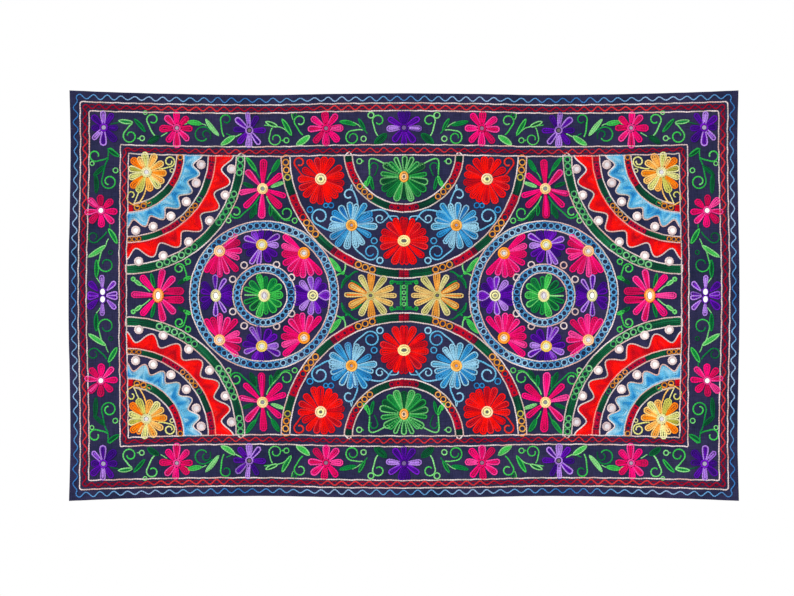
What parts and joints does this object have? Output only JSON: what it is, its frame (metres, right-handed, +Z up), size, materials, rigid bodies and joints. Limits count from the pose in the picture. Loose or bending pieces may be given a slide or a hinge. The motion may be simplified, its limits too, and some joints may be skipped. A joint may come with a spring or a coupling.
{
  "type": "embroidered mirror-work tapestry wall hanging",
  "caption": "Dark indigo cotton wall hanging covered in chain-stitch flowers, scrolls, bands and fans, with small round mirrors held by rings of thread.",
  "frame": {"origin": "middle of the top edge, at half the cloth's thickness, where the hanging is held", "axes": "+X to the right along the width, +Z up, the embroidered face looks along -Y"},
  "size_m": [1.503, 0.0109, 0.9192],
  "materials": {
    "ground_cotton": "matte plain-woven cotton, indigo",
    "embroidery_thread": "soft sheen, many space-dyed colours, chain stitch",
    "shisha_mirror": "small silvered glass discs, bright, slightly uneven"
  },
  "bodies": {
    "root": {"ground_cloth": "ground_cotton", "mirror_tl_in_1": "shisha_mirror", "mirror_tl_out_1": "shisha_mirror", "mirror_tl_in_2": "shisha_mirror", "mirror_tl_out_2": "shisha_mirror", "mirror_tl_in_3": "shisha_mirror", "mirror_tl_out_3": "shisha_mirror", "mirror_tl_in_4": "shisha_mirror", "mirror_tl_out_4": "shisha_mirror", "mirror_tl_in_5": "shisha_mirror", "mirror_tl_out_5": "shisha_mirror", "mirror_tl_in_6": "shisha_mirror", "mirror_tl_out_6": "shisha_mirror", "mirror_tr_in_1": "shisha_mirror", "mirror_tr_out_1": "shisha_mirror", "mirror_tr_in_2": "shisha_mirror", "mirror_tr_out_2": "shisha_mirror", "mirror_tr_in_3": "shisha_mirror", "mirror_tr_out_3": "shisha_mirror", "mirror_tr_in_4": "shisha_mirror", "mirror_tr_out_4": "shisha_mirror", "mirror_tr_in_5": "shisha_mirror", "mirror_tr_out_5": "shisha_mirror", "mirror_tr_in_6": "shisha_mirror", "mirror_tr_out_6": "shisha_mirror", "mirror_bl_in_1": "shisha_mirror", "mirror_bl_out_1": "shisha_mirror", "mirror_bl_in_2": "shisha_mirror", "mirror_bl_out_2": "shisha_mirror", "mirror_bl_in_3": "shisha_mirror", "mirror_bl_out_3": "shisha_mirror", "mirror_bl_in_4": "shisha_mirror", "mirror_bl_out_4": "shisha_mirror", "mirror_bl_in_5": "shisha_mirror", "mirror_bl_out_5": "shisha_mirror", "mirror_bl_in_6": "shisha_mirror", "mirror_bl_out_6": "shisha_mirror", "mirror_br_in_1": "shisha_mirror", "mirror_br_out_1": "shisha_mirror", "mirror_br_in_2": "shisha_mirror", "mirror_br_out_2": "shisha_mirror", "mirror_br_in_3": "shisha_mirror", "mirror_br_out_3": "shisha_mirror", "mirror_br_in_4": "shisha_mirror", "mirror_br_out_4": "shisha_mirror", "mirror_br_in_5": "shisha_mirror", "mirror_br_out_5": "shisha_mirror", "mirror_br_in_6": "shisha_mirror", "mirror_br_out_6": "shisha_mirror"}
  },
  "joints": []
}
